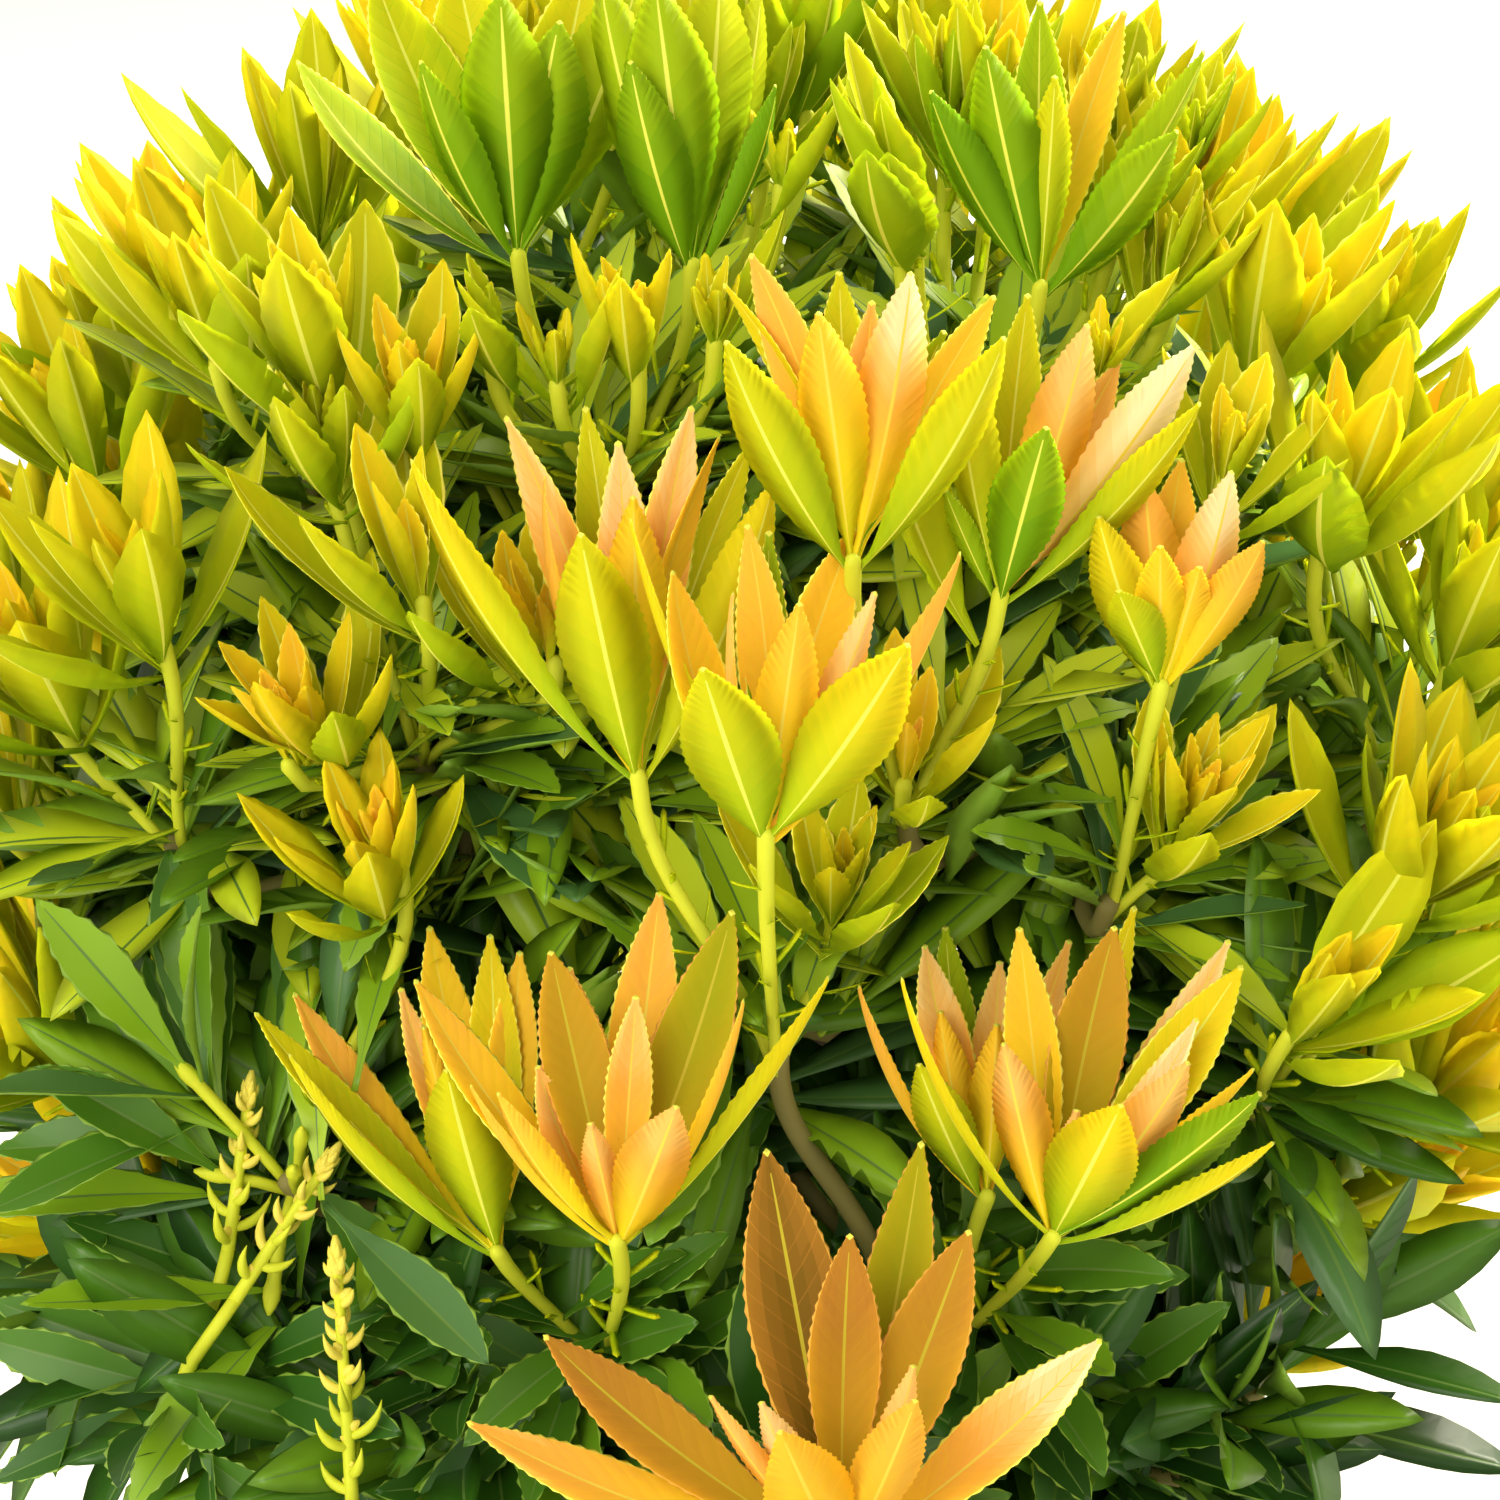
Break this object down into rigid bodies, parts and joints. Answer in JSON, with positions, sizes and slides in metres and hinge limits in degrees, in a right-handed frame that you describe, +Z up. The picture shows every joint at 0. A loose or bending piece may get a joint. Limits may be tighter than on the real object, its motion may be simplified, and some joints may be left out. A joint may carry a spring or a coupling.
{
  "type": "potted japanese pieris shrub",
  "caption": "Rounded evergreen pieris shrub in a plain clay pot, with upright rosettes of yellow, orange and lime young leaves over dark green older leaves.",
  "frame": {"origin": "middle of the pot's flat underside", "axes": "+Z up the plant, -Y towards the side that the picture was taken from, +X to that view's right"},
  "size_m": [0.4668, 0.4793, 0.5129],
  "materials": {
    "clay": "matte unglazed",
    "compost": "matte, crumbly",
    "bark": "matte, finely fissured",
    "foliage": "satin leaf surface"
  },
  "bodies": {
    "root": {"pot": "clay", "compost": "compost", "trunk": "bark", "bough_upper_1": "bark", "bough_upper_2": "bark", "bough_upper_3": "bark", "bough_upper_4": "bark", "bough_lower_1": "bark", "bough_lower_2": "bark", "bough_lower_3": "bark", "bough_lower_4": "bark", "bough_lower_5": "bark", "bough_lower_6": "bark", "bough_lower_7": "bark", "foliage_top": "foliage", "foliage_upper_1": "foliage", "foliage_upper_2": "foliage", "foliage_upper_3": "foliage", "foliage_upper_4": "foliage", "foliage_lower_1": "foliage", "foliage_lower_2": "foliage", "foliage_lower_3": "foliage", "foliage_lower_4": "foliage", "foliage_lower_5": "foliage", "foliage_lower_6": "foliage", "foliage_lower_7": "foliage"}
  },
  "joints": []
}
